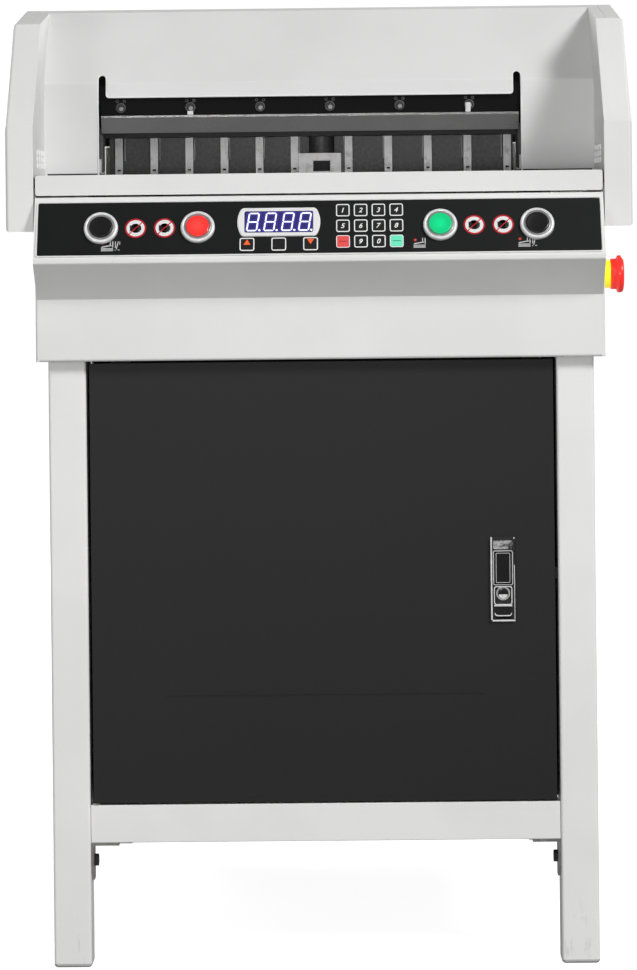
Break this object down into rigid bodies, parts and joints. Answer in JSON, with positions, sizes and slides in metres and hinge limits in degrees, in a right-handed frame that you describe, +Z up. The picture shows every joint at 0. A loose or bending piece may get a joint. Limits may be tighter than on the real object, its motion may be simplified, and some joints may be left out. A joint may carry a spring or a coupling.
{
  "type": "paper_cutter",
  "caption": "Electric guillotine paper cutter with hooded knife, sloping keypad console and back gauge on a four-legged cabinet stand with a black door.",
  "frame": {"origin": "middle of the machine's bounding box, on the floor", "axes": "X to the operator's right, Y away from the operator, Z up"},
  "size_m": [0.662, 0.822, 1.031],
  "materials": {
    "stand_paint": "satin",
    "cabinet_black": "satin",
    "cap_plastic": "matte",
    "zinc_steel": "satin",
    "dark_steel": "satin",
    "latch_chrome": "polished",
    "body_paint": "satin",
    "panel_black": "matte",
    "bezel_plastic": "gloss",
    "window_glass": "gloss",
    "key_plastic": "matte",
    "black_plastic": "gloss",
    "red_plastic": "gloss",
    "green_plastic": "gloss",
    "yellow_plastic": "gloss",
    "table_iron": "ground",
    "stick_plastic": "matte",
    "frame_iron": "painted",
    "cheek_paint": "satin",
    "lens_plastic": "gloss",
    "hood_paint": "satin",
    "knife_black": "matte",
    "blade_steel": "ground",
    "clamp_iron": "painted",
    "gauge_alloy": "brushed",
    "motor_paint": "satin"
  },
  "bodies": {
    "stand": {"base_plate": "zinc_steel", "body_wrap": "body_paint", "bracket_bolts": "dark_steel", "button_bezels": "latch_chrome", "cabinet_back": "cabinet_black", "cabinet_floor": "cabinet_black", "cabinet_sides": "cabinet_black", "clamp_drive": "motor_paint", "control_panel": "panel_black", "control_unit": "zinc_steel", "cover_cheeks": "cheek_paint", "cutting_stick": "stick_plastic", "display_bezel": "bezel_plastic", "display_window": "window_glass", "door_pins": "zinc_steel", "estop_collar": "yellow_plastic", "front_cover": "body_paint", "gauge_motor": "motor_paint", "gauge_rails": "blade_steel", "hood_front": "hood_paint", "hood_roof": "body_paint", "keypad_keys": "key_plastic", "knife_drive": "motor_paint", "leg_caps": "cap_plastic", "legs": "stand_paint", "light_curtain": "lens_plastic", "mains_inlet": "black_plastic", "rail_brackets": "zinc_steel", "rear_fences": "zinc_steel", "side_cover_left": "body_paint", "side_cover_right": "body_paint", "side_frames": "frame_iron", "stand_rails": "stand_paint", "table_plate": "table_iron", "table_posts": "zinc_steel", "table_trim": "body_paint", "top_beam": "frame_iron"},
    "door": {"door_panel": "cabinet_black", "latch_frame": "latch_chrome"},
    "latch_lever": {"latch_lever": "latch_chrome"},
    "lock": {"lock_cylinder": "zinc_steel"},
    "latch_bolt": {"latch_bolt": "zinc_steel"},
    "cut_left": {"cut_button_left": "black_plastic"},
    "cut_right": {"cut_button_right": "black_plastic"},
    "power": {"power_button": "red_plastic"},
    "reset": {"reset_button": "green_plastic"},
    "estop_stem": {"estop_stem": "black_plastic"},
    "estop_cap": {"estop_cap": "red_plastic"},
    "knife": {"knife_carrier": "knife_black", "knife_blade": "blade_steel", "knife_bolts": "dark_steel", "knife_yoke": "frame_iron"},
    "knife_spindle": {"knife_spindle": "blade_steel"},
    "clamp": {"clamp_beam": "clamp_iron"},
    "clamp_spindle": {"clamp_spindle": "blade_steel"},
    "gauge": {"gauge_carriage": "gauge_alloy", "gauge_combs": "gauge_alloy"},
    "lead_screw": {"lead_screw": "blade_steel"},
    "rocker": {"mains_rocker": "red_plastic"}
  },
  "joints": [
    {"name": "door_swing", "type": "hinge", "parent": "stand", "child": "door", "pos_m": [-0.244, -0.348, 0.408], "axis": [0, 0, -1], "range_deg": [0, 95]},
    {"name": "lever_pull", "type": "hinge", "parent": "door", "child": "latch_lever", "pos_m": [0.191, -0.353, 0.371], "axis": [1, 0, 0], "range_deg": [0, 35], "stiffness_Nm_per_rad": 0.06, "springref_deg": -20.05},
    {"name": "lock_turn", "type": "hinge", "parent": "latch_lever", "child": "lock", "pos_m": [0.191, -0.356, 0.394], "axis": [0, 1, 0], "range_deg": [0, 90]},
    {"name": "latch_bolt_slide", "type": "slide", "parent": "door", "child": "latch_bolt", "axis": [-1, 0, 0], "range_m": [0, 0.00802]},
    {"name": "cut_left_press", "type": "slide", "parent": "stand", "child": "cut_left", "axis": [0, 0.8972, -0.4417], "range_m": [0, 0.0035], "stiffness_N_per_m": 500, "springref_m": -0.003},
    {"name": "cut_right_press", "type": "slide", "parent": "stand", "child": "cut_right", "axis": [0, 0.8972, -0.4417], "range_m": [0, 0.0035], "stiffness_N_per_m": 500, "springref_m": -0.003},
    {"name": "power_press", "type": "slide", "parent": "stand", "child": "power", "axis": [0, 0.8972, -0.4417], "range_m": [0, 0.0035], "stiffness_N_per_m": 500, "springref_m": -0.003},
    {"name": "reset_press", "type": "slide", "parent": "stand", "child": "reset", "axis": [0, 0.8972, -0.4417], "range_m": [0, 0.0035], "stiffness_N_per_m": 500, "springref_m": -0.003},
    {"name": "stop_press", "type": "slide", "parent": "stand", "child": "estop_stem", "axis": [-1, 0, 0], "range_m": [0, 0.004], "stiffness_N_per_m": 1500, "springref_m": -0.003},
    {"name": "stop_twist", "type": "hinge", "parent": "estop_stem", "child": "estop_cap", "pos_m": [0.3085, -0.311, 0.731], "axis": [1, 0, 0], "range_deg": [0, 45], "stiffness_Nm_per_rad": 0.02},
    {"name": "knife_stroke", "type": "slide", "parent": "stand", "child": "knife", "axis": [0, 0, -1], "range_m": [0, 0.0472]},
    {"name": "knife_spindle_turn", "type": "hinge", "parent": "stand", "child": "knife_spindle", "pos_m": [-0.0104, -0.212, 0.76], "axis": [0, 0, 1], "range_deg": [0, 1700.2]},
    {"name": "clamp_press", "type": "slide", "parent": "stand", "child": "clamp", "axis": [0, 0, -1], "range_m": [0, 0.0426]},
    {"name": "clamp_spindle_turn", "type": "hinge", "parent": "stand", "child": "clamp_spindle", "pos_m": [-0.0104, -0.175, 0.96], "axis": [0, 0, 1], "range_deg": [0, 3068.2]},
    {"name": "gauge_travel", "type": "slide", "parent": "stand", "child": "gauge", "axis": [0, 1, 0], "range_m": [0, 0.398]},
    {"name": "lead_screw_turn", "type": "hinge", "parent": "stand", "child": "lead_screw", "pos_m": [0.0017, 0.021, 0.8], "axis": [0, 1, 0], "range_deg": [0, 14329]},
    {"name": "rocker_tip", "type": "hinge", "parent": "stand", "child": "rocker", "pos_m": [0.215, 0.3876, 0.74], "axis": [-1, 0, 0], "range_deg": [0, 20]}
  ],
  "couplings": [
    {"joint": "latch_bolt_slide", "follows": "lever_pull", "m_per_rad": 0.013096},
    {"joint": "knife_spindle_turn", "follows": "knife_stroke", "rad_per_m": 628.32},
    {"joint": "clamp_spindle_turn", "follows": "clamp_press", "rad_per_m": 1256.6},
    {"joint": "lead_screw_turn", "follows": "gauge_travel", "rad_per_m": 628.32}
  ]
}
